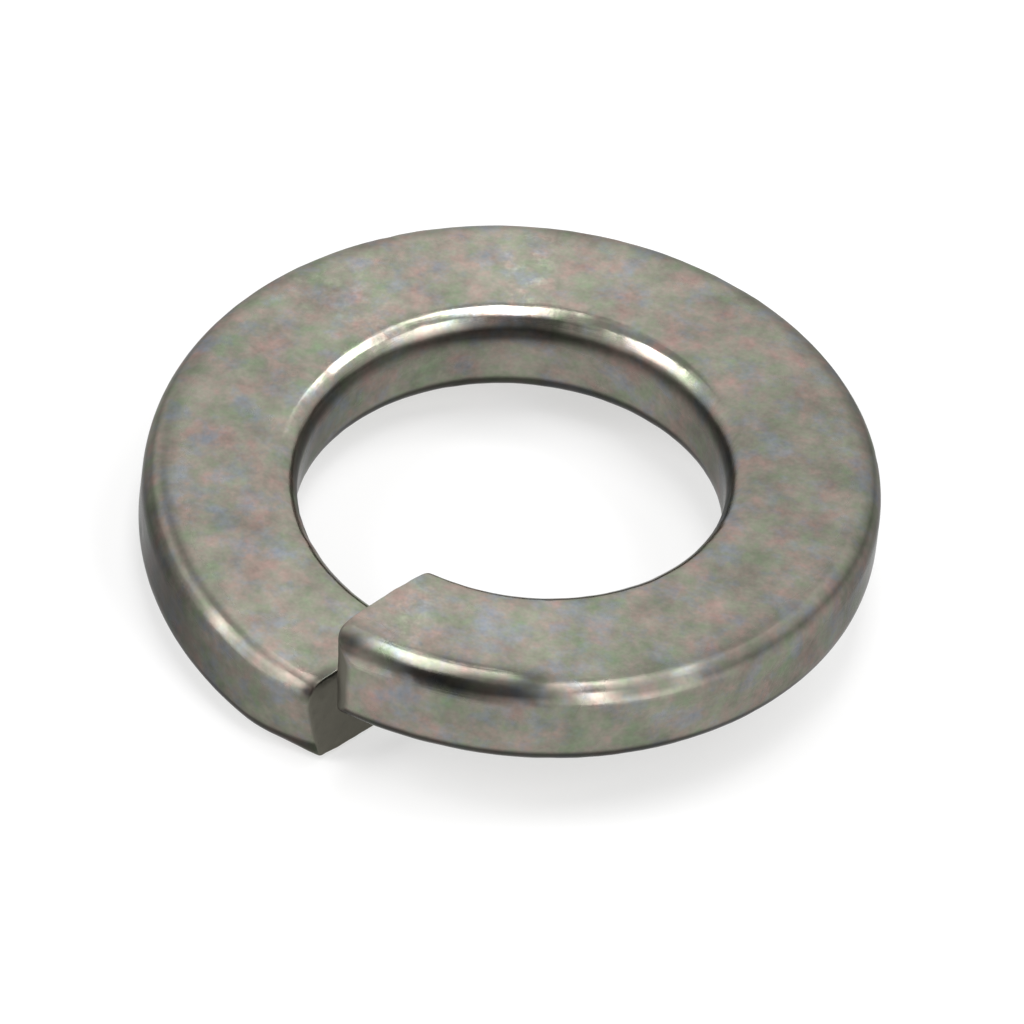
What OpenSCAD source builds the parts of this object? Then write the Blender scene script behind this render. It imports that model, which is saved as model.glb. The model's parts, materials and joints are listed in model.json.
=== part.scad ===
// A split spring lock washer: one turn of a rounded, slightly keystone section, wound left-handed
// about +Z and sheared through on a skewed, leaning plane. The bore's axis is the Z axis, and the
// lowest point, under the low end, is at Z = 0.

/* [Ring] */
// Diameter of the bore
bore_d = 12.75; // [10:0.05:16]
// Width of the section, from the bore to the rim
section_w = 4.66; // [3.4:0.02:6]
// Thickness of the section, halfway between the bore and the rim
section_t = 3.1; // [2.6:0.05:4]
// How much thicker the section is at the bore than at the rim
keystone = 0.12; // [0:0.02:0.2]
// Climb of the ring over its one turn, from the low end to the high end
end_rise = 2.5; // [0.6:0.1:4]

/* [Edges] */
// Radius of the two long edges at the bore
bore_edge_r = 0.85; // [0.3:0.05:0.95]
// Radius of the two long edges at the rim
rim_edge_r = 0.8; // [0.3:0.05:0.95]
// Bevel all round each of the two cut faces
cut_bevel = 0.08; // [0.04:0.02:0.2]
// Radius of the blunted corner between the high end's cut face and the rim
high_corner_r = 1.3; // [0.1:0.05:1.6]
// Radius of the blunted corner between the low end's cut face and the rim
low_corner_r = 0.2; // [0.1:0.05:1.6]

/* [Split] */
// Where the split is round the ring, in degrees from the X axis
split_angle = 245.5; // [200:0.5:260]
// Clear width of the split
split_gap = 0.5; // [0.1:0.05:1.2]
// Turn of the cut away from a radius, in degrees
cut_skew = -16; // [-24:1:0]
// Lean of the cut from upright, in degrees
cut_slant = 5; // [0:0.5:8]

/* [Hidden] */

// Steps round the turn, round each long edge and across each flat
turn_steps = 120;
edge_steps = 5;
flat_steps = 4;
// How far the swept section stands past the walls that the two round cuts then make
trim = 0.03;
// How far those round cuts run on above and below the ring
overrun = 1;

bore_r = bore_d / 2;
rim_r = bore_r + section_w;
mid_r = bore_r + section_w / 2;
bore_half_t = (section_t + keystone) / 2;
rim_half_t = (section_t - keystone) / 2;

// The chord from a to b, run on past b until it is trim further out
function run_on(a, b) = b + (b - a) * trim / abs(b[0] - a[0]);
function flip(points) = [for (p = points) [p[0], -p[1]]];
function back(points) = [for (k = [len(points) - 1:-1:0]) points[k]];

// One upper edge of the section, from the flat to the wall: side is 1 at the rim and -1 at the
// bore. With an inset it is the same edge drawn in by a bevel, and stays inside the wall.
function edge(wall_r, half_t, edge_r, side, inset) =
    let (centre = [wall_r - side * edge_r, half_t - edge_r],
         arc = [for (k = [0:edge_steps]) let (a = 90 - 90 * k / edge_steps)
             centre + (edge_r - inset) * [side * cos(a), sin(a)]])
    [for (k = [0:edge_steps])
        k == edge_steps && inset == 0 ? run_on(arc[k - 1], arc[k]) : arc[k]];

// The whole section as [radius, height] points
function section(inset) =
    let (rim = edge(rim_r, rim_half_t, rim_edge_r, 1, inset),
         bore = edge(bore_r, bore_half_t, bore_edge_r, -1, inset),
         flat = [for (k = [1:flat_steps - 1]) bore[0] + (rim[0] - bore[0]) * k / flat_steps])
    concat(rim, back(flip(rim)), back(flip(flat)), flip(bore), back(bore), flat);

// Height of the section's centre at an angle: the left-handed climb, level with 0 at half a turn
function climb(a) = end_rise * (0.5 - (a - split_angle) / 360);

// The cut is a plane through the middle of the section at the split, skewed and leaning, with half
// the gap on each side of it. In what follows, which is 1 at the high end and -1 at the low end.
cut_turn = split_angle + cut_skew;
cut_reach = mid_r * sin(split_angle - cut_turn);

// How far the cut face curves back where it meets the rim, at a radius
function blunting(r, which) =
    let (corner_r = which == 1 ? high_corner_r : low_corner_r,
         depth = max(0, min(r - rim_r + corner_r, corner_r)))
    corner_r - sqrt(corner_r ^ 2 - depth ^ 2);

// The angle round the ring at which a point of the section lies back from that curved cut face
function on_cut(p, which, back_off) =
    let (across = cut_reach + which * (split_gap / 2 + back_off + blunting(p[0], which))
             - tan(cut_slant) * (p[1] + which * end_rise / 2))
    cut_turn + asin(across / p[0]) + (which == 1 ? 0 : 360);

function place(p, a) = [p[0] * cos(a), p[0] * sin(a), p[1] + climb(a)];

full = section(0);
drawn_in = section(cut_bevel);
sides = len(full);

// Where each point of the full section starts and stops, behind the two bevels
function bevel_angles(which) = [for (p = full) on_cut(p, which, cut_bevel)];
function cut_face(which) = [for (p = drawn_in) place(p, on_cut(p, which, 0))];

high_end = bevel_angles(1);
low_end = bevel_angles(-1);
turn = [for (i = [0:turn_steps], j = [0:sides - 1])
    place(full[j], high_end[j] + (low_end[j] - high_end[j]) * i / turn_steps)];
skin = concat(cut_face(1), turn, cut_face(-1));

last_ring = turn_steps + 2;
walls = [for (i = [0:last_ring - 1], j = [0:sides - 1])
    let (a = i * sides + j, b = i * sides + (j + 1) % sides)
    each [[a, b, b + sides], [a, b + sides, a + sides]]];

// A cut face is closed by strips from its upper to its lower points, from the rim to the bore
upper = [for (m = [0:sides / 2 - 1]) (edge_steps - m + sides) % sides];
lower = [for (m = [0:sides / 2 - 1]) edge_steps + 1 + m];
strips = [for (m = [0:sides / 2 - 2])
    each [[upper[m], upper[m + 1], lower[m + 1]], [upper[m], lower[m + 1], lower[m]]]];
low_strips = [for (s = strips) [for (v = back(s)) v + last_ring * sides]];

lift = -min([for (p = skin) p[2]]);
round_h = 2 * (bore_half_t + overrun) + end_rise;

module round_cut(r) {
    cylinder(r = r, h = round_h, center = true, $fn = 128);
}

module lock_washer() {
    color("silver") translate([0, 0, lift]) difference() {
        intersection() {
            polyhedron(skin, concat(walls, strips, low_strips), convexity = 4);
            round_cut(rim_r);
        }
        round_cut(bore_r);
    }
}

lock_washer();
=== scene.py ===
"""A spring lock washer of dull plated steel, on a plain white table under soft light."""

import json
import math
import random

import bmesh
import bpy
import numpy as np
from bpy.props import FloatProperty, FloatVectorProperty, IntProperty, PointerProperty
from mathutils import Matrix, Vector, noise


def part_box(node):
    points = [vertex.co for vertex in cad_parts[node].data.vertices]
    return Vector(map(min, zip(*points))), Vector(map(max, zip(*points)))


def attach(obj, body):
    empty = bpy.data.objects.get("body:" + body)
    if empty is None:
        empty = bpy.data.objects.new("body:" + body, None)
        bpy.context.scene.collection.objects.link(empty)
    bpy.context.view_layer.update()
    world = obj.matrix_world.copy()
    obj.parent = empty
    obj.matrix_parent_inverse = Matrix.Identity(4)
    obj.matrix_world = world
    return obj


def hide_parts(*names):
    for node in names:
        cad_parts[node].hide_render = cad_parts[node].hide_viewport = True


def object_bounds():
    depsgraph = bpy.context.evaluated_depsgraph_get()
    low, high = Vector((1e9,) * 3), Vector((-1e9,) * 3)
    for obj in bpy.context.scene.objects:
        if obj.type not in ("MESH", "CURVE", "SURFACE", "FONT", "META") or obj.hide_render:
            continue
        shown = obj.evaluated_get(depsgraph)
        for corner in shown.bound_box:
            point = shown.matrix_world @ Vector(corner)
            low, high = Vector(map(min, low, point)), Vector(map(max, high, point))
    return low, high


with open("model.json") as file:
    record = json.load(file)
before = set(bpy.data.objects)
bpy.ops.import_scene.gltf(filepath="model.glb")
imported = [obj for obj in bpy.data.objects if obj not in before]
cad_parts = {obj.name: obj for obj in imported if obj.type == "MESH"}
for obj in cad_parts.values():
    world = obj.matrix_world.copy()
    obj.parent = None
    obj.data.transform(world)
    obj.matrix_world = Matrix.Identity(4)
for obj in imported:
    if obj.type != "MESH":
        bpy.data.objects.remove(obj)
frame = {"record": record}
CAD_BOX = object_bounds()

bl_info = {
    "name": "Spring lock washer",
    "version": (1, 0, 0),
    "blender": (4, 5, 0),
    "location": "View3D > Sidebar > Washer",
    "description": "Models a split spring lock washer, its plating and a small white studio",
    "category": "Object",
}

MM = 0.001
NODE = "lock_washer"
PIECE = "spring_ring"
BORE = next(m for m in frame["record"]["mounts"] if m["name"] == "bore")
BORE_D = 2 * BORE["dims"]["r_mm"] * MM
NODE_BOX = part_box(NODE)
RIM_D = NODE_BOX[1].x - NODE_BOX[0].x
MIDDLE_Z = (NODE_BOX[0].z + NODE_BOX[1].z) / 2
SECTION_T = 3.1 * MM
KEYSTONE = 0.12 * MM
HALF_TURN = math.pi
TURN = 2 * math.pi
WHITE = (1, 1, 1, 1)


def length(name, text, default, low=0.0, high=0.1):
    """A size that a user may change, in metres."""
    return FloatProperty(name=name, description=text, default=default, min=low, max=high,
                         subtype="DISTANCE", unit="LENGTH", precision=5)


def angle(name, text, degrees):
    """An angle that a user may change."""
    return FloatProperty(name=name, description=text, default=math.radians(degrees),
                         subtype="ANGLE", unit="ROTATION")


def share(name, text, default, high=1.0):
    """A plain number from nothing up."""
    return FloatProperty(name=name, description=text, default=default, min=0.0, max=high, precision=3)


def colour(name, text, rgb):
    """A colour, given as the picture shows it, from 0 to 255."""
    return FloatVectorProperty(name=name, description=text, size=3, min=0.0, max=1.0, subtype="COLOR",
                               default=tuple(linear(c / 255) for c in rgb))


def linear(c):
    """The scene value of a display value."""
    return c / 12.92 if c <= 0.04045 else ((c + 0.055) / 1.055) ** 2.4


class RingSizes(bpy.types.PropertyGroup):
    """Sizes of the ring."""

    bore_d: length("Bore", "Diameter of the bore", BORE_D)
    rim_d: length("Rim", "Outer diameter of the ring", RIM_D)
    section_t: length("Thickness", "Thickness of the section, halfway across it", SECTION_T)
    keystone: length("Keystone", "How much thicker the section is at the bore than at the rim", KEYSTONE)
    end_rise: length("Rise", "Climb of the ring over its one turn", 2.5 * MM)
    bore_edge: length("Bore edge", "Radius of the two long edges at the bore", 0.85 * MM)
    rim_edge: length("Rim edge", "Radius of the two long edges at the rim", 0.8 * MM)
    cut_bevel: length("Cut bevel", "Rounding all round each cut face", 0.06 * MM)
    high_corner: length("High corner", "Radius of the corner between the high cut face and the rim",
                        1.2 * MM)
    low_corner: length("Low corner", "Radius of the corner between the low cut face and the rim",
                       0.15 * MM)
    split_gap: length("Split", "Clear width of the split", 0.5 * MM)
    split_at: angle("Split at", "Where the split is round the ring", 245.5)
    cut_skew: angle("Skew", "Turn of the cut away from a radius", -16.0)
    cut_slant: angle("Slant", "Lean of the cut from upright", 5.0)
    turn_steps: IntProperty(name="Steps", description="Steps round the turn before smoothing",
                            default=116, min=24, max=240)


class RingFinish(bpy.types.PropertyGroup):
    """Look of the plating."""

    plating: colour("Plating", "Colour of most of the plating", (150, 146, 134))
    rosy: colour("Rosy film", "Colour where the passive film turns rosy", (170, 144, 137))
    green: colour("Green film", "Colour where the passive film turns green", (134, 150, 123))
    blue: colour("Blue film", "Colour where the passive film turns blue grey", (140, 146, 154))
    # The torn cut faces' colour is partly their own dull grey and partly painted shade for the shade in
    # the split
    dull: colour("Dull patch", "Colour of the torn cut faces", (98, 96, 87))
    grazing: colour("Grazing", "Tint of what the plating mirrors at a low angle", (203, 203, 203))
    roughness: share("Roughness", "Roughness of the plating", 0.24)
    patchiness: share("Patchiness", "How much the roughness drifts from place to place", 0.25)
    edge_dullness: share("Dull edges", "Roughness that the dull edges add", 0.22)
    torn_dullness: share("Dull cuts", "Roughness that the torn cut faces add", 0.2)
    drawn: share("Drawn", "How strongly the grain draws the highlights out", 0.5)
    grain_depth: length("Grain", "Depth of the fine lines along the wire", 0.003 * MM)
    dent_depth: length("Dents", "Depth of the small dents from tumbling", 0.02 * MM)


class StageLook(bpy.types.PropertyGroup):
    """Table, lamps and camera."""

    table: colour("Table", "Colour of the table", (181, 181, 181))
    table_size: length("Table size", "Width of the table", 3.0, high=10.0)
    table_glow: share("Table glow", "Light that only camera, mirror and glass rays see in the table",
                      0.54, 5.0)
    sky: share("Sky light", "Strength of the plain light from all round", 0.25, 5.0)
    lamp_far: length("Lamp distance", "Distance of the lamps from the ring", 0.5, high=10.0)
    lamp_level: share("Lamp level", "Brightness of all the lamps", 1.0, 10.0)
    view_from: angle("View height", "Height of the camera above the table", 43.7011)
    view_roll: angle("View roll", "Turn of the camera about its own line of sight", 6.8644)
    view_far: length("View distance", "Distance of the camera", 1.2, high=10.0)
    view_wide: length("View width", "Width of what the camera sees", 30.5965 * MM)
    view_left: length("View left", "How far the ring sits left of the middle", 0.053 * MM)
    view_up: length("View up", "How far the ring sits above the middle", 0.3735 * MM)


def clear_selection():
    """Leaves nothing selected, so that an operator acts on the new piece alone."""
    if bpy.context.object and bpy.context.object.mode != "OBJECT":
        bpy.ops.object.mode_set(mode="OBJECT")
    bpy.ops.object.select_all(action="DESELECT")


def edit(on=True):
    """Goes into or out of edit mode."""
    bpy.ops.object.mode_set(mode="EDIT" if on else "OBJECT")


def choose(piece, verts=None, edges=None):
    """Selects vertices or edges of a mesh by a test on their places, ready for edit mode."""
    mesh = piece.data
    edit(False)
    mesh.vertices.foreach_set("select", [False] * len(mesh.vertices))
    mesh.edges.foreach_set("select", [False] * len(mesh.edges))
    mesh.polygons.foreach_set("select", [False] * len(mesh.polygons))
    if verts is not None:
        for v in mesh.vertices:
            v.select = verts(v)
        bpy.context.tool_settings.mesh_select_mode = (True, False, False)
    if edges is not None:
        for e in mesh.edges:
            e.select = edges(*(mesh.vertices[i].co for i in e.vertices))
        bpy.context.tool_settings.mesh_select_mode = (False, True, False)
    edit()


class Ring:
    """The ring's geometry as numbers: where a point of the section goes round the turn."""

    def __init__(self, s):
        self.bore_r, self.rim_r = s.bore_d / 2, s.rim_d / 2
        self.mid_r = (self.bore_r + self.rim_r) / 2
        self.width = self.rim_r - self.bore_r
        self.bore_half = (s.section_t + s.keystone) / 2
        self.rim_half = (s.section_t - s.keystone) / 2
        self.bore_edge, self.rim_edge = s.bore_edge, s.rim_edge
        self.rise, self.gap = s.end_rise, s.split_gap
        self.split, self.slant = s.split_at, s.cut_slant
        self.cut_turn = s.split_at + s.cut_skew
        self.reach = self.mid_r * math.sin(self.split - self.cut_turn)
        self.corner_r = {1: s.high_corner, -1: s.low_corner}

    def half(self, r):
        """Half the thickness at a radius."""
        t = (r - self.bore_r) / self.width
        return self.bore_half + (self.rim_half - self.bore_half) * t

    def blunting(self, r, which):
        """How far the cut face curves back where it meets the rim: which is 1 high, -1 low."""
        corner_r = self.corner_r[which]
        depth = np.clip(r - self.rim_r + corner_r, 0, corner_r)
        return corner_r - np.sqrt(corner_r**2 - depth**2)

    def edge_centre(self, r, h):
        """The point of the section's core that a place rounds about, and the radius of its edge."""
        edge = np.where(r > self.mid_r, self.rim_edge, self.bore_edge)
        c_r = np.clip(r, self.bore_r + self.bore_edge, self.rim_r - self.rim_edge)
        limit = self.half(c_r) - edge
        return c_r, np.clip(h, -limit, limit), edge

    def drawn_in(self, r, h, inset):
        """A point of the section moved inwards from its own side."""
        c_r, c_h, _ = self.edge_centre(r, h)
        d_r, d_h = r - c_r, h - c_h
        size = np.maximum(np.hypot(d_r, d_h), 1e-9)
        return r - inset * d_r / size, h - inset * d_h / size

    def over_edge(self, r, h, side):
        """How far a place lies over an upper edge, and its turn there: side is 1 rim, -1 bore."""
        wall, edge, half = ((self.rim_r, self.rim_edge, self.rim_half) if side == 1 else
                            (self.bore_r, self.bore_edge, self.bore_half))
        out, down = side * (r - wall) + edge, half - edge - h
        turned = np.arctan2(np.maximum(out, 0), np.maximum(-down, 0))
        way = np.minimum(out, 0) + edge * turned + np.maximum(down, 0)
        return np.where((out < 0) & (down > 0), -1, way), turned

    def squared(self, r, h, side, top, much):
        """The section with one long edge squared: side is 1 rim, -1 bore; top is 1 upper, -1 lower."""
        c_r, c_h, _ = self.edge_centre(r, h)
        u_r, u_h = r - c_r, h - c_h
        size = np.hypot(u_r, u_h)
        power = 2 + much * (u_r * side > 0) * (u_h * top > 0)
        across, up = (np.abs(u / np.maximum(size, 1e-9)) for u in (u_r, u_h))
        grown = np.where(size > 1e-7, np.maximum(across**power + up**power, 0.1) ** (-1 / power), 1)
        return c_r + grown * u_r, c_h + grown * u_h

    def on_cut(self, r, h, which, back_off):
        """The angle at which a point lies back from the cut face."""
        across = (self.reach + which * (self.gap / 2 + back_off + self.blunting(r, which))
                  - math.tan(self.slant) * (h + which * self.rise / 2))
        return self.cut_turn + np.arcsin(across / r) + (0 if which == 1 else TURN)

    def behind(self, r, a, h, which):
        """How far a place lies back from the cut plane, out of reach for the far half of the turn."""
        turned = a - self.cut_turn - (0 if which == 1 else TURN)
        across = r * np.sin(np.clip(turned, -HALF_TURN / 2, HALF_TURN / 2))
        lean = math.tan(self.slant) * (h + which * self.rise / 2)
        return which * (across - self.reach + lean) - self.gap / 2

    def climb(self, a):
        """Height of the section's middle at an angle, above the ring's middle."""
        return self.rise * (0.5 - (a - self.split) / TURN)

    def place(self, r, h, a):
        """The point in the room."""
        return np.stack([r * np.cos(a), r * np.sin(a), MIDDLE_Z + h + self.climb(a)], 1)

    def unwound(self, co, turned):
        """Radius, angle and height in the section of each place, on the turn it is known to be on."""
        a = np.arctan2(co[:, 1], co[:, 0])
        a += TURN * np.round((turned - a) / TURN)
        return np.hypot(co[:, 0], co[:, 1]), a, co[:, 2] - MIDDLE_Z - self.climb(a)


def ramp(x, low, high):
    """0 below low, 1 above high, and a smooth rise between."""
    t = np.clip((x - low) / (high - low), 0, 1)
    return t * t * (3 - 2 * t)


def bell(x, middle, half):
    """1 in the middle, falling smoothly to nothing on either side of it."""
    return np.exp(-((x - middle) / half) ** 2)


def swell(degrees, middle, half):
    """The same, for an angle round the ring."""
    return bell((degrees - middle + 180) % 360, 180, half)


def swells(degrees, places_round):
    """The sum of several of them, each given as its middle, half its width and its height."""
    return sum(swell(degrees, middle, half) * high for middle, half, high in places_round)


def rough(points, size, seed):
    """Smooth noise from -1 to 1 at each place, with lumps of that size."""
    shift = Vector((seed * 7.31, seed * 3.17, seed * 5.77))
    return np.array([noise.noise(Vector(p) / size + shift) for p in points])


def read(mesh, name):
    """A number that each vertex carries, as an array."""
    values = np.zeros(len(mesh.vertices), np.float32)
    mesh.attributes[name].data.foreach_get("value", values)
    return values.astype(float)


def write(mesh, name, values):
    """Gives each vertex a number to carry."""
    attribute = mesh.attributes.get(name) or mesh.attributes.new(name, "FLOAT", "POINT")
    attribute.data.foreach_set("value", np.asarray(values, np.float32))


def places(mesh):
    """All vertex places as an array."""
    co = np.zeros(len(mesh.vertices) * 3, np.float32)
    mesh.vertices.foreach_get("co", co)
    return co.reshape(-1, 3).astype(float)


def put(mesh, co):
    """Sets all vertex places."""
    mesh.vertices.foreach_set("co", np.asarray(co, np.float32).ravel())
    mesh.update()


# Steps of the section and sweep of the turn before it is swung to the cut
CORNER_STEPS = 4
SIDE_STEPS = 6
SWEEP = math.radians(350)
# Loops that round a cut face over: how far back and how far in, in bevels
END_LOOPS = ((4.5, 0), (2.2, 0), (1, 0), (0.25, 0.25), (0, 1), (0, 2.4))

# The rim drawn in towards the low cut: over what length, how steeply it sets in, how much in the
# middle, and how much more for each metre down
PULL_LENGTH = 2.3 * MM
PULL_CURVE = 1.6
PULL_MEAN = 0.375 * MM
PULL_SLOPE = 0.2
# How square the low end's lower rim edge and the high end's tip are, and how far that tip is drawn
# back, over the same length
LOW_SQUARED = 4
TIP_SQUARED = 1.8
TIP_BACK = 0.16 * MM
# The pressed rim edge: its depth, where over the edge it starts, is deepest and stops, and between
# which degrees past the split it ends
PRESS = 0.2 * MM
PRESS_FROM = -0.5 * MM
PRESS_AT = 0.85 * MM
PRESS_TO = 2.2 * MM
PRESS_ENDS = (27, 33)

# Places round the ring: middle and half width in degrees, and how much
# The bright spots are where highlights stay bright: the painted shade bands and the dull edges are left
# off there
BRIGHT_SPOTS = ((221, 3, 0.6), (237, 2, 0.6), (258, 10, 1.0), (287, 4, 1.0), (303, 2.5, 0.5))
# The glints are painted highlights: speckled bright streaks that lighten the film's colour on the upper
# flats
PAINTED_GLINTS = ((92, 5, 1.0), (130, 9, 0.5), (253, 4, 0.6))
# Painted shade, as a share taken off the film's colour, and where round the ring there is more or less:
# darker walls, a dark band under the bore edge, a dark line along the lower edges, a dimmed blunt corner
# and a dark notch by the low cut. The flats are made darker or lighter round the ring
PAINTED_SHADE_LIMITS = (-0.3, 0.85)
RIM_WALL_PAINTED_SHADE = 0.31
RIM_WALL_SPOTS = ((201, 27, 0.5), (355, 18, 0.28))
BORE_WALL_PAINTED_SHADE = 0.34
BORE_WALL_SPOTS = ((8, 26, 0.25), (172, 24, 0.24))
FLAT_DARKENING = 0.14
FLAT_SPOTS = ((104, 56, -0.4), (258, 52, -0.36))
BORE_BAND_PAINTED_SHADE = 0.35
BORE_BAND_SPOTS = ((96, 22, 0.3),)
FADE_PAINTED_SHADE = 0.5
LOW_EDGE_PAINTED_SHADE = 0.6
BLUNT_PAINTED_SHADE = 0.45
LIP_PAINTED_SHADE = 0.5
# Bands of painted shade along the rim's upper edge, dark lines and dimmed highlights: way over the edge
# and half width, whether the bright spots wipe it, how much all round, and where round the ring there is
# more
RIM_BANDS = (
    (0.35 * MM, 0.35 * MM, True, 0.3, ((306, 28, 0.21),)),
    (0.62 * MM, 0.13 * MM, True, 0.25, ()),
    (0.0, 0.45 * MM, True, 0.0, ((306, 28, 0.21),)),
    (0.0, 0.45 * MM, False, 0.0, ((262, 14, 0.3), (246, 5, 0.25))),
    (0.48 * MM, 0.31 * MM, False, 0.0, ((263, 15, 0.85),)),
    (0.35 * MM, 0.35 * MM, False, 0.0, ((212, 26, 0.2),)),
)
# The fade of the bright streak, which painted shade dims, in degrees, and its half width over the edge
FADE_FROM = (256, 268)
FADE_TO = (277, 283)
FADE_HALF = 0.45 * MM
# How dull or glossy the edges are, and their ways over the edge: middle and half width
BLUNT_DULL = 1.2
BORE_BAND_DULL = 0.8
GLOSSY = 0.3
EDGE_WAY = (0.5 * MM, 0.5 * MM)
BLUNT_WAY = (0.2 * MM, 0.6 * MM)
GLOSSY_WAY = (0.4 * MM, 0.35 * MM)
BORE_BAND_WAY = (1.12 * MM, 0.34 * MM)
# Where things start and stop: depth in from a wall, height in the section, way back from a cut
WALL_DEPTH = (0.05 * MM, 0.35 * MM)
LOW_EDGE_DEPTH = (0.35 * MM, 0.75 * MM)
LIP_DEPTH = (1.235 * MM, 1.835 * MM)
GLINT_DEPTH = (0.4 * MM, 1.0 * MM)
LOW_EDGE_HEIGHT = (0.72 * MM, 0.95 * MM)
LIP_HEIGHT = (0.8 * MM, 1.3 * MM)
BLUNT_BEHIND = (0.5 * MM, 1.7 * MM)
LIP_BEHIND = (0.1 * MM, 0.5 * MM)
TORN_BEHIND = (0.05 * MM, 0.5 * MM)

# Layers of small marks: height as a share of a dent's depth, size of the lumps, and seed
WAVES = ((0.2, 2.4 * MM, 1),)
NICKS = ((0.45, 0.75 * MM, 2), (0.3, 0.38 * MM, 3))
TEARS = ((0.8, 0.5 * MM, 4), (0.5, 0.22 * MM, 5))
DENTS = 160
DENT_SIZES = (0.25 * MM, 0.55 * MM)
DENT_SHARES = (0.2, 0.8)
# No dent's middle lies nearer to a cut than this. The order of the vertices there differs from run to
# run, and a middle is picked by its number in that order
DENT_BEHIND = 0.9 * MM


class WASHER_OT_ring(bpy.types.Operator):
    """Models the split ring: a rounded section, turned, wound, cut, closed and tumbled"""

    bl_idname = "washer.ring"
    bl_label = "Spring ring"

    def execute(self, context):
        sizes, finish = context.scene.washer_sizes, context.scene.washer_finish
        ring = Ring(sizes)
        piece = self.section(ring)
        self.turn(piece, ring, sizes)
        for which in (1, -1):
            self.close_end(piece, ring, sizes, which)
        self.smooth(piece)
        self.tumble(piece, ring, finish)
        piece.data.materials.clear()
        piece.data.materials.append(plating(finish))
        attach(piece, "root")
        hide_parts(NODE)
        return {"FINISHED"}

    def section(self, ring):
        """The section's outline at angle 0: a rectangle with its corners rounded and sides split."""
        clear_selection()
        bpy.ops.mesh.primitive_plane_add(size=1.0, location=(ring.mid_r, 0, 0),
                                         rotation=(math.pi / 2, 0, 0))
        piece = bpy.context.object
        piece.name = piece.data.name = PIECE
        bpy.ops.object.transform_apply(location=True, rotation=True, scale=True)
        at = (ring.mid_r, 0, 0)
        edit()
        bpy.ops.mesh.select_all(action="SELECT")
        bpy.ops.transform.resize(value=(ring.width, 1, 2 * ring.rim_half), center_override=at)
        choose(piece, verts=lambda v: v.co.x < ring.mid_r)
        bpy.ops.transform.resize(value=(1, 1, ring.bore_half / ring.rim_half), center_override=at)
        bpy.ops.mesh.bevel(offset=ring.bore_edge, segments=CORNER_STEPS, affect="VERTICES")
        choose(piece, verts=lambda v: v.co.x > ring.rim_r - MM * 0.01)
        bpy.ops.mesh.bevel(offset=ring.rim_edge, segments=CORNER_STEPS, affect="VERTICES")
        bpy.ops.mesh.select_all(action="SELECT")
        bpy.ops.mesh.delete(type="ONLY_FACE")
        choose(piece, edges=lambda a, b: abs(a.x - b.x) > ring.width / 3)
        bpy.ops.mesh.subdivide(number_cuts=SIDE_STEPS - 1)
        choose(piece, edges=lambda a, b: abs(a.z - b.z) > ring.rim_half / 2)
        bpy.ops.mesh.subdivide(number_cuts=SIDE_STEPS - 1)
        edit(False)
        co = places(piece.data)
        write(piece.data, "reach", co[:, 0])
        write(piece.data, "height", co[:, 2])
        return piece

    def turn(self, piece, ring, sizes):
        """Turns the section nearly once round, then winds the turn and swings its ends to the cut."""
        screw = piece.modifiers.new("turn", "SCREW")
        screw.axis = "Z"
        screw.angle = SWEEP
        screw.screw_offset = 0.0
        screw.steps = screw.render_steps = sizes.turn_steps
        screw.use_merge_vertices = False
        bpy.ops.object.modifier_apply(modifier="turn")
        mesh = piece.data
        co, r, h = places(mesh), read(mesh, "reach"), read(mesh, "height")
        spare = (TURN - SWEEP) / 2
        u = ((np.arctan2(co[:, 1], co[:, 0]) + spare) % TURN - spare) / SWEEP
        high, low = (ring.on_cut(r, h, which, END_LOOPS[0][0] * sizes.cut_bevel) for which in (1, -1))
        a = high + (low - high) * u
        put(mesh, ring.place(r, h, a))
        write(mesh, "turned", a)
        write(mesh, "high_end", u < 1e-4)
        write(mesh, "low_end", u > 1 - 1e-4)
        write(mesh, "cut_face", np.zeros(len(u)))

    def close_end(self, piece, ring, sizes, which):
        """Rounds one end over in loops that draw in, and closes it with a grid."""
        mesh = piece.data
        name = "high_end" if which == 1 else "low_end"
        rim = np.flatnonzero(read(mesh, name) > 0.5)
        for back, inset in END_LOOPS[1:]:
            chosen = set(rim)
            choose(piece, verts=lambda v: v.index in chosen)
            bpy.ops.mesh.extrude_edges_indiv()
            edit(False)
            mesh = piece.data
            rim = np.array([v.index for v in mesh.vertices if v.select])
            r, h = read(mesh, "reach")[rim], read(mesh, "height")[rim]
            r_in, h_in = ring.drawn_in(r, h, inset * sizes.cut_bevel)
            self.set_on_cut(mesh, ring, rim, r_in, h_in, which, back * sizes.cut_bevel)
        chosen = set(rim)
        old = len(mesh.vertices)
        choose(piece, verts=lambda v: v.index in chosen)
        skin = bmesh.from_edit_mesh(piece.data)
        skin.verts.ensure_lookup_table()
        skin.select_history.add(skin.verts[rim[np.argmax(r + h)]])
        bpy.ops.mesh.fill_grid(span=SIDE_STEPS + CORNER_STEPS, offset=0)
        edit(False)
        mesh = piece.data
        inner = np.arange(old, len(mesh.vertices))
        rest = ring.split if which == 1 else ring.split + TURN
        r, _, h = ring.unwound(places(mesh)[inner], rest)
        self.set_on_cut(mesh, ring, inner, r, h, which, 0)

    def set_on_cut(self, mesh, ring, chosen, r, h, which, back_off):
        """Puts the chosen vertices on the cut face, or a little behind it."""
        a = ring.on_cut(r, h, which, back_off)
        co, turned, on_face = places(mesh), read(mesh, "turned"), read(mesh, "cut_face")
        co[chosen], turned[chosen] = ring.place(r, h, a), a
        on_face[chosen] = 1.0 if back_off == 0 else 0.0
        put(mesh, co)
        write(mesh, "turned", turned)
        write(mesh, "cut_face", on_face)

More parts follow.
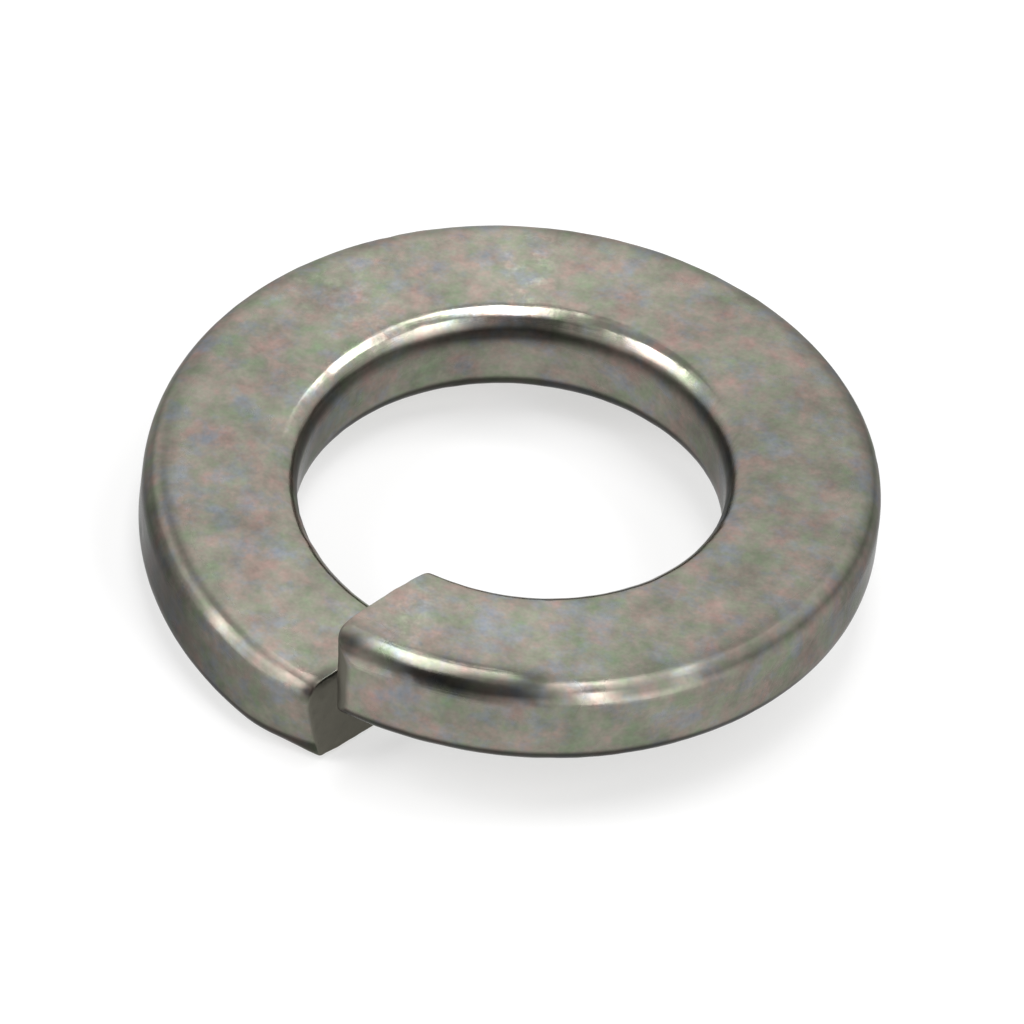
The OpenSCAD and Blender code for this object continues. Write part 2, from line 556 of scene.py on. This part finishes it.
    def smooth(self, piece):
        """Rounds the whole skin with two steps of subdivision."""
        clear_selection()
        piece.select_set(True)
        bpy.context.view_layer.objects.active = piece
        edit()
        bpy.ops.mesh.select_all(action="SELECT")
        bpy.ops.mesh.normals_make_consistent(inside=False)
        edit(False)
        soften = piece.modifiers.new("soften", "SUBSURF")
        soften.levels = soften.render_levels = 2
        bpy.ops.object.modifier_apply(modifier="soften")
        bpy.ops.object.shade_smooth()

    def tumble(self, piece, ring, finish):
        """Shapes what coiling, shearing and tumbling leave: a pressed edge, nicks and dents. It first
        writes the painted shade, painted glints and dullness that the material reads.
        """
        mesh = piece.data
        co = places(mesh)
        r, a, h = ring.unwound(co, read(mesh, "turned"))
        self.paint_shade_glint_and_dullness(mesh, ring, r, a, h)
        r, h = self.press_edge(ring, r, a, h)
        r, a, h = self.pull_low_end(ring, r, a, h)
        r, h = self.sharpen_tip(ring, r, a, h)
        co = ring.place(r, h, a)
        put(mesh, co)
        normals = np.zeros(len(co) * 3, np.float32)
        mesh.vertices.foreach_get("normal", normals)
        normals = normals.reshape(-1, 3).astype(float)
        depth = self.marks(ring, co, r, a, h, read(mesh, "cut_face"), finish)
        put(mesh, co + normals * depth[:, None])
        wire = mesh.attributes.new("wire", "FLOAT_VECTOR", "POINT")
        wire.data.foreach_set("vector", np.stack([r, a * ring.mid_r, h], 1).astype(np.float32).ravel())

    def press_edge(self, ring, r, a, h):
        """Flattens the rim's upper edge near the high end, where the shear has pressed it down."""
        way, turned = ring.over_edge(r, h, 1)
        hump = ramp(way, PRESS_FROM, PRESS_AT) * (1 - ramp(way, PRESS_AT, PRESS_TO))
        near = 1 - ramp(a, *(ring.split + np.radians(PRESS_ENDS)))
        c_r, c_h, edge = ring.edge_centre(r, h)
        skin = np.minimum(np.hypot(r - c_r, h - c_h) / edge, 1) ** 2
        depth = PRESS * hump * near * skin
        return r - depth * np.sin(turned), h - depth * np.cos(turned)

    def pull_low_end(self, ring, r, a, h):
        """Draws the rim in towards the low cut, most at the bottom, where the corner stays keen."""
        behind = ring.behind(r, a, h, -1)
        near = np.clip(1 - behind / PULL_LENGTH, 0, 1) ** PULL_CURVE
        r, h = ring.squared(r, h, 1, -1, LOW_SQUARED * near**4)
        outer = np.clip((r - ring.mid_r) / (ring.rim_r - ring.mid_r), 0, 1) ** 2
        r = r - (PULL_MEAN - PULL_SLOPE * h) * near * outer
        moved = ring.on_cut(r, h, -1, behind - ring.blunting(r, -1))
        return r, np.where(near > 0, moved, a), h

    def sharpen_tip(self, ring, r, a, h):
        """Squares the bore's upper edge at the high end's tip, and draws it back a little."""
        near = np.clip(1 - ring.behind(r, a, h, 1) / PULL_LENGTH, 0, 1) ** 3
        r, h = ring.squared(r, h, -1, 1, TIP_SQUARED * near)
        inner = np.clip((ring.mid_r - r) / (ring.mid_r - ring.bore_r), 0, 1)
        return r + TIP_BACK * near * inner, h

    def paint_shade_glint_and_dullness(self, mesh, ring, r, a, h):
        """Writes what each place carries for the material: its painted shade, how dull it is, and its
        painted glints.
        """
        at = np.degrees(a)
        rim_way, bore_way = (ring.over_edge(r, h, side)[0] for side in (1, -1))
        from_rim, from_bore = ring.rim_r - r, r - ring.bore_r
        nearest = np.minimum(from_rim, from_bore)
        rim_wall, bore_wall = (1 - ramp(depth, *WALL_DEPTH) for depth in (from_rim, from_bore))
        behind_high, behind_low = (ring.behind(r, a, h, which) for which in (1, -1))
        bright = np.clip(swells(at, BRIGHT_SPOTS), 0, 1)
        blunt = bell(rim_way, *BLUNT_WAY) * (1 - ramp(behind_high, *BLUNT_BEHIND))
        lip = (1 - ramp(behind_low, *LIP_BEHIND)) * ramp(h, *LIP_HEIGHT) * (1 - ramp(from_rim, *LIP_DEPTH))
        low_edge = ramp(-h, *LOW_EDGE_HEIGHT) * (1 - ramp(nearest, *LOW_EDGE_DEPTH))
        band = bell(bore_way, *BORE_BAND_WAY)
        fade = ramp(at, *FADE_FROM) * (1 - ramp(at, *FADE_TO)) * bell(rim_way, 0, FADE_HALF)
        # Painted shade: darker walls, a dark band under the bore edge, a dark line along the lower edges,
        # the streak's fade, the blunt corner and the notch by the low cut; the flats darker or lighter
        # round the ring
        painted_shade = ((RIM_WALL_PAINTED_SHADE + swells(at, RIM_WALL_SPOTS)) * rim_wall
                + (BORE_WALL_PAINTED_SHADE + swells(at, BORE_WALL_SPOTS)) * bore_wall
                + (FLAT_DARKENING + swells(at, FLAT_SPOTS)) * (1 - rim_wall) * (1 - bore_wall)
                + (BORE_BAND_PAINTED_SHADE + swells(at, BORE_BAND_SPOTS)) * band
                + FADE_PAINTED_SHADE * fade + LOW_EDGE_PAINTED_SHADE * low_edge + BLUNT_PAINTED_SHADE * blunt + LIP_PAINTED_SHADE * lip)
        for way, half, wiped, even, spots in RIM_BANDS:
            much = (even + swells(at, spots)) * (1 - bright * wiped)
            painted_shade += bell(rim_way, way, half) * much
        write(mesh, "painted_shade", np.clip(painted_shade, *PAINTED_SHADE_LIMITS))
        edge = np.maximum(bell(rim_way, *EDGE_WAY) * (1 - bright), BLUNT_DULL * blunt)
        glossy = bell(bore_way, *GLOSSY_WAY)
        write(mesh, "dull", edge + BORE_BAND_DULL * band - GLOSSY * glossy)
        # Painted glints: speckled bright streaks on the upper flats
        write(mesh, "painted_glint", swells(at, PAINTED_GLINTS) * ramp(nearest, *GLINT_DEPTH) * (h > 0))

    def marks(self, ring, co, r, a, h, on_face, finish):
        """Height of the small marks at each place: long waves, nicks on the edges, torn cut faces."""
        c_r, c_h, _ = ring.edge_centre(r, h)
        u_r, u_h = r - c_r, h - c_h
        rounded = (2 * u_r * u_h / np.maximum(u_r**2 + u_h**2, 1e-12)) ** 2
        behind = np.minimum(ring.behind(r, a, h, 1), ring.behind(r, a, h, -1))
        at_cut = 1 - ramp(behind, *TORN_BEHIND)
        wave, nicked, torn = (sum(high * rough(co, size, seed) for high, size, seed in layers)
                              for layers in (WAVES, NICKS, TEARS))
        height = wave + rounded * nicked * (1 - on_face) + at_cut * torn
        from_high, from_low = (ring.behind(r, a, h, which) - ring.blunting(r, which) for which in (1, -1))
        clear = np.minimum(from_high, from_low) > DENT_BEHIND
        return finish.dent_depth * height + self.dents(co, clear, finish)

    def dents(self, co, clear, finish):
        """Small round dents scattered by chance, clear of the cuts."""
        random.seed(7)
        depth = np.zeros(len(co))
        for _ in range(DENTS):
            middle = random.randrange(len(co))
            size = random.uniform(*DENT_SIZES)
            near = np.maximum(1 - ((co - co[middle]) ** 2).sum(1) / size**2, 0)
            depth -= random.uniform(*DENT_SHARES) * clear[middle] * finish.dent_depth * near**2
        return depth


# Sizes and strengths of the noises in the plating
FILM_LUMPS = 1.0 * MM
FILM_STRENGTH = 4.2
SHADE_LUMPS = 1.6 * MM
SHADE_STRENGTH = 1.3
# Specks of the painted glints: size of the lumps, range of the noise, and most light they add
SPECK_LUMPS = 0.5 * MM
SPECK_NOISE = (-0.02, 0.2)
SPECK_MOST = 0.6
DRIFT_LUMPS = 2.5 * MM
PIT_LUMPS = 0.22 * MM
PIT_SHARE = 0.6


def shader(name):
    """A new material with an empty tree."""
    material = bpy.data.materials.new(name)
    material.use_nodes = True
    tree = material.node_tree
    tree.nodes.clear()
    return material, tree


def group(name, inputs, outputs):
    """A node group with its named sockets: the tree, its way in and its way out."""
    tree = bpy.data.node_groups.new(name, "ShaderNodeTree")
    for label, kind, value in inputs:
        socket = tree.interface.new_socket(name=label, in_out="INPUT", socket_type="NodeSocket" + kind)
        socket.default_value = value
    for label, kind in outputs:
        tree.interface.new_socket(name=label, in_out="OUTPUT", socket_type="NodeSocket" + kind)
    return tree, tree.nodes.new("NodeGroupInput"), tree.nodes.new("NodeGroupOutput")


def add(tree, kind, links=(), **settings):
    """A node with its settings and its inputs: a link from a socket, or a plain value."""
    node = tree.nodes.new("ShaderNode" + kind)
    for key, value in settings.items():
        setattr(node, key, value)
    for name, source in dict(links).items():
        if isinstance(source, bpy.types.NodeSocket):
            tree.links.new(source, node.inputs[name])
        else:
            node.inputs[name].default_value = source
    return node


def seen(tree):
    """1 where the camera sees something, straight or in metal or glass, and 0 where it only lights."""
    path = add(tree, "LightPath")
    either = add(tree, "Math", {0: path.outputs["Is Camera Ray"], 1: path.outputs["Is Glossy Ray"]},
                 operation="MAXIMUM")
    return add(tree, "Math", {0: either.outputs[0], 1: path.outputs["Is Transmission Ray"]},
               operation="MAXIMUM").outputs[0]


def lumps(tree, vector, size, seed, detail=4.0, roughness=0.7):
    """Noise about 0, in lumps of that size."""
    moved = add(tree, "VectorMath", {0: vector, 1: (seed * 0.37, seed * 0.91, seed * 0.53)},
                operation="ADD")
    spots = add(tree, "TexNoise", {"Vector": moved.outputs[0], "Scale": 1 / size, "Detail": detail,
                                   "Roughness": roughness})
    return add(tree, "Math", {0: spots.outputs[0], 1: 0.5}, operation="SUBTRACT").outputs[0]


def film():
    """Group: the plating's colour, which drifts between rosy, green and blue grey."""
    tree, way_in, way_out = group("passive film", (
        ("Vector", "Vector", (0, 0, 0)), ("Plating", "Color", (0.3, 0.3, 0.3, 1)),
        ("Rosy", "Color", (0.3, 0.3, 0.3, 1)), ("Green", "Color", (0.3, 0.3, 0.3, 1)),
        ("Blue", "Color", (0.3, 0.3, 0.3, 1))), (("Color", "Color"),))
    colour_now = way_in.outputs["Plating"]
    for seed, name, sign in ((1, "Rosy", 1), (1, "Green", -1), (2, "Blue", 1)):
        patches = lumps(tree, way_in.outputs["Vector"], FILM_LUMPS, seed, 3.0)
        much = add(tree, "Math", {0: patches, 1: FILM_STRENGTH * sign}, operation="MULTIPLY",
                   use_clamp=True)
        mixed = add(tree, "Mix", {0: much.outputs[0], 6: colour_now, 7: way_in.outputs[name]},
                    data_type="RGBA")
        colour_now = mixed.outputs[2]
    shade = lumps(tree, way_in.outputs["Vector"], SHADE_LUMPS, 3, roughness=0.8)
    level = add(tree, "Math", {0: shade, 1: SHADE_STRENGTH, 2: 1.0}, operation="MULTIPLY_ADD")
    lit = add(tree, "VectorMath", {0: colour_now, 3: level.outputs[0]}, operation="SCALE")
    tree.links.new(lit.outputs[0], way_out.inputs["Color"])
    return tree


def drawn_grain():
    """Group: the height of fine lines along the wire."""
    tree, way_in, way_out = group("drawn grain", (
        ("Wire", "Vector", (0, 0, 0)), ("Line width", "Float", 0.0001), ("Line length", "Float", 0.002)),
        (("Height", "Float"),))
    across = add(tree, "Math", {0: 1.0, 1: way_in.outputs["Line width"]}, operation="DIVIDE")
    along = add(tree, "Math", {0: 1.0, 1: way_in.outputs["Line length"]}, operation="DIVIDE")
    scale = add(tree, "CombineXYZ", {0: across.outputs[0], 1: along.outputs[0], 2: across.outputs[0]})
    placed = add(tree, "VectorMath", {0: way_in.outputs["Wire"], 1: scale.outputs[0]},
                 operation="MULTIPLY")
    lines = add(tree, "TexNoise", {"Vector": placed.outputs[0], "Scale": 1.0, "Detail": 2.0})
    tree.links.new(lines.outputs[0], way_out.inputs["Height"])
    return tree


def plating(finish):
    """Dull plating over steel: a drifting film, drawn grain, painted shade, painted glints, dull edges and
    torn cut faces.
    """
    material, tree = shader("dull plating")
    place = add(tree, "TexCoord").outputs["Object"]
    wire = add(tree, "Attribute", attribute_name="wire").outputs["Vector"]
    face = add(tree, "Attribute", attribute_name="cut_face").outputs["Fac"]
    colours = {name: (*getattr(finish, name.lower()), 1) for name in ("Plating", "Rosy", "Green", "Blue")}
    coat = add(tree, "Group", node_tree=film())
    grain = add(tree, "Group", node_tree=drawn_grain())
    tree.links.new(place, coat.inputs["Vector"])
    tree.links.new(wire, grain.inputs["Wire"])
    for name, value in colours.items():
        coat.inputs[name].default_value = value
    # Painted shade takes a share off the film's colour, and painted glints add specks of light to it
    painted_shade, dull, painted_glint = (add(tree, "Attribute", attribute_name=name).outputs["Fac"]
                         for name in ("painted_shade", "dull", "painted_glint"))
    specks = add(tree, "MapRange", {0: lumps(tree, place, SPECK_LUMPS, 7, 3.0), 1: SPECK_NOISE[0],
                                    2: SPECK_NOISE[1], 4: SPECK_MOST})
    glints = add(tree, "Math", {0: specks.outputs[0], 1: painted_glint}, operation="MULTIPLY")
    unshaded = add(tree, "Math", {0: 1.0, 1: painted_shade}, operation="SUBTRACT")
    level = add(tree, "Math", {0: unshaded.outputs[0], 1: glints.outputs[0]}, operation="ADD")
    lit = add(tree, "VectorMath", {0: coat.outputs[0], 3: level.outputs[0]}, operation="SCALE")
    # The cut faces take the dull colour, which holds painted shade as well as their own grey
    torn = add(tree, "Mix", {0: face, 6: lit.outputs[0], 7: (*finish.dull, 1)}, data_type="RGBA")
    drift = lumps(tree, place, DRIFT_LUMPS, 5)
    patches = add(tree, "Math", {0: drift, 1: finish.patchiness, 2: finish.roughness},
                  operation="MULTIPLY_ADD")
    edges = add(tree, "Math", {0: dull, 1: finish.edge_dullness, 2: patches.outputs[0]},
                operation="MULTIPLY_ADD")
    harsh = add(tree, "Math", {0: face, 1: finish.torn_dullness, 2: edges.outputs[0]},
                operation="MULTIPLY_ADD")
    pits = lumps(tree, place, PIT_LUMPS, 6, 2.0)
    height = add(tree, "Math", {0: pits, 1: PIT_SHARE, 2: grain.outputs["Height"]},
                 operation="MULTIPLY_ADD")
    bump = add(tree, "Bump", {"Height": height.outputs[0], "Distance": finish.grain_depth})
    metal = add(tree, "BsdfPrincipled", {"Base Color": torn.outputs[2], "Metallic": 1.0,
                                         "Roughness": harsh.outputs[0], "Anisotropic": finish.drawn,
                                         "Specular Tint": (*finish.grazing, 1),
                                         "Normal": bump.outputs[0]})
    add(tree, "OutputMaterial", {"Surface": metal.outputs[0]})
    return material


def overhead(east, north):
    """The direction that lies so many degrees east and north of straight up."""
    tilt, turn = math.radians(math.hypot(east, north)), math.atan2(north, east)
    return Vector((math.sin(tilt) * math.cos(turn), math.sin(tilt) * math.sin(turn), math.cos(tilt)))


def facing(east, north, turn):
    """How something hung in that direction is turned to face the ring, with its long side at turn."""
    out = overhead(east, north)
    step = math.radians(turn)
    along = overhead(east + math.cos(step), north + math.sin(step)) - out
    side = (along - out * along.dot(out)).normalized()
    return Matrix((side, out.cross(side), out)).transposed().to_euler()


def span(degrees, far):
    """The width at a distance that looks so many degrees wide."""
    return 2 * far * math.tan(math.radians(degrees) / 2)


class WASHER_OT_stage(bpy.types.Operator):
    """Adds the table, the lamps, the sky and the camera"""

    bl_idname = "washer.stage"
    bl_label = "White table and lamps"

    def execute(self, context):
        look = context.scene.washer_stage
        self.table(look)
        for lamp in LAMPS:
            self.lamp(look, *lamp)
        for card in CARDS:
            self.card(look, *card)
        self.sky(context.scene, look)
        self.camera(context.scene, look)
        context.scene.view_settings.view_transform = "Standard"
        return {"FINISHED"}

    def table(self, look):
        """A wide white table at the ring's lowest point."""
        clear_selection()
        bpy.ops.mesh.primitive_plane_add(size=look.table_size, location=(0, 0, CAD_BOX[0].z))
        table = bpy.context.object
        table.name = "table"
        bpy.ops.object.transform_apply(location=True, rotation=True, scale=True)
        material, tree = shader("white table")
        strength = add(tree, "Math", {0: seen(tree), 1: look.table_glow}, operation="MULTIPLY")
        glow = add(tree, "Emission", {"Strength": strength.outputs[0]})
        matt = add(tree, "BsdfDiffuse", {"Color": (*look.table, 1)})
        both = add(tree, "AddShader", {0: matt.outputs[0], 1: glow.outputs[0]})
        add(tree, "OutputMaterial", {"Surface": both.outputs[0]})
        table.data.materials.append(material)

    def lamp(self, look, name, east, north, wide, tall, turn, bright):
        """One soft lamp, as wide and tall as it looks from the ring, in degrees."""
        clear_selection()
        spot = overhead(east, north) * look.lamp_far
        bpy.ops.object.light_add(type="AREA", location=spot, rotation=facing(east, north, turn))
        lamp = bpy.context.object
        lamp.name = name
        lamp.data.shape = "RECTANGLE"
        lamp.data.size, lamp.data.size_y = span(wide, look.lamp_far), span(tall, look.lamp_far)
        lamp.data.energy = math.pi * lamp.data.size * lamp.data.size_y * bright * look.lamp_level

    def card(self, look, name, east, north, wide, tall, turn, grey):
        """One matt card that only the metal sees."""
        clear_selection()
        far = look.lamp_far * CARDS_OUT
        bpy.ops.mesh.primitive_plane_add(size=1.0, location=overhead(east, north) * far,
                                         rotation=facing(east, north, turn))
        card = bpy.context.object
        card.name = name
        bpy.ops.transform.resize(value=(span(wide, far), span(tall, far), 1), orient_type="LOCAL")
        material, tree = shader(name)
        matt = add(tree, "Emission", {"Color": (grey, grey, grey, 1)})
        add(tree, "OutputMaterial", {"Surface": matt.outputs[0]})
        card.data.materials.append(material)
        card.visible_camera = card.visible_diffuse = card.visible_shadow = False

    def sky(self, scene, look):
        """An even white light from all round, at full white where it is seen."""
        world = bpy.data.worlds.new("sky")
        world.use_nodes = True
        scene.world = world
        tree = world.node_tree
        tree.nodes.clear()
        light = add(tree, "Background", {"Color": WHITE, "Strength": look.sky})
        white = add(tree, "Background", {"Color": WHITE})
        pick = add(tree, "MixShader", {0: seen(tree), 1: light.outputs[0], 2: white.outputs[0]})
        add(tree, "OutputWorld", {"Surface": pick.outputs[0]})

    def camera(self, scene, look):
        """A long lens that looks down on the ring, a little turned."""
        e, roll = look.view_from, look.view_roll
        across = Vector((1, 0, 0))
        up = Vector((0, math.sin(e), math.cos(e)))
        back = Vector((0, -math.cos(e), math.sin(e)))
        right = math.cos(roll) * across + math.sin(roll) * up
        top = -math.sin(roll) * across + math.cos(roll) * up
        aim = Vector((0, 0, MIDDLE_Z)) + right * look.view_left - top * look.view_up
        spot = aim + back * look.view_far
        turned = Matrix((right, top, back)).transposed().to_euler()
        bpy.ops.object.camera_add(location=spot, rotation=turned)
        camera = bpy.context.object
        camera.name = "camera"
        camera.data.sensor_width = 36.0
        camera.data.lens = camera.data.sensor_width * look.view_far / look.view_wide
        camera.data.clip_end = 10.0
        scene.camera = camera


# Lamps and cards: name, degrees east and north of straight up, width and height in degrees, turn of
# the width from east, and brightness. The cards hang further out than the lamps, by the factor below
CARDS_OUT = 1.1
LAMPS = (
    ("lamp over the ring", 0.5, -1.0, 40, 15, 88, 7.0),
    ("lamp at the right, high", 31.0, 12.5, 32, 14, -44, 6.0),
    ("lamp at the right, low", 41.0, -41.0, 50, 20, -58, 4.5),
    ("lamp at the left", -54.0, -15.0, 42, 20, 38, 7.0),
    ("lamp at the left, low", -46.0, -68.0, 28, 16, 60, 1.8),
)
CARDS = (
    ("dark card", 0.0, -52.0, 44, 62, 0, 0.06),
    ("grey ceiling", 0.0, -2.0, 76, 66, 0, 0.45),
)


class WASHER_PT_panel(bpy.types.Panel):
    """The washer's sizes, finish and stage"""

    bl_idname = "WASHER_PT_panel"
    bl_label = "Spring lock washer"
    bl_space_type = "VIEW_3D"
    bl_region_type = "UI"
    bl_category = "Washer"

    def draw(self, context):
        for held, build in (("washer_sizes", "washer.ring"), ("washer_finish", None),
                            ("washer_stage", "washer.stage")):
            box = self.layout.box()
            values = getattr(context.scene, held)
            for name in values.bl_rna.properties.keys():
                if name not in ("rna_type", "name"):
                    box.prop(values, name)
            if build:
                box.operator(build)


CLASSES = (RingSizes, RingFinish, StageLook, WASHER_OT_ring, WASHER_OT_stage, WASHER_PT_panel)
GROUPS = {"washer_sizes": RingSizes, "washer_finish": RingFinish, "washer_stage": StageLook}


def register():
    for c in CLASSES:
        bpy.utils.register_class(c)
    for name, kind in GROUPS.items():
        setattr(bpy.types.Scene, name, PointerProperty(type=kind))


def unregister():
    for name in GROUPS:
        delattr(bpy.types.Scene, name)
    for c in reversed(CLASSES):
        bpy.utils.unregister_class(c)


def main():
    """Builds everything in order."""
    register()
    bpy.ops.washer.ring()
    bpy.ops.washer.stage()


if __name__ == "__main__":
    main()
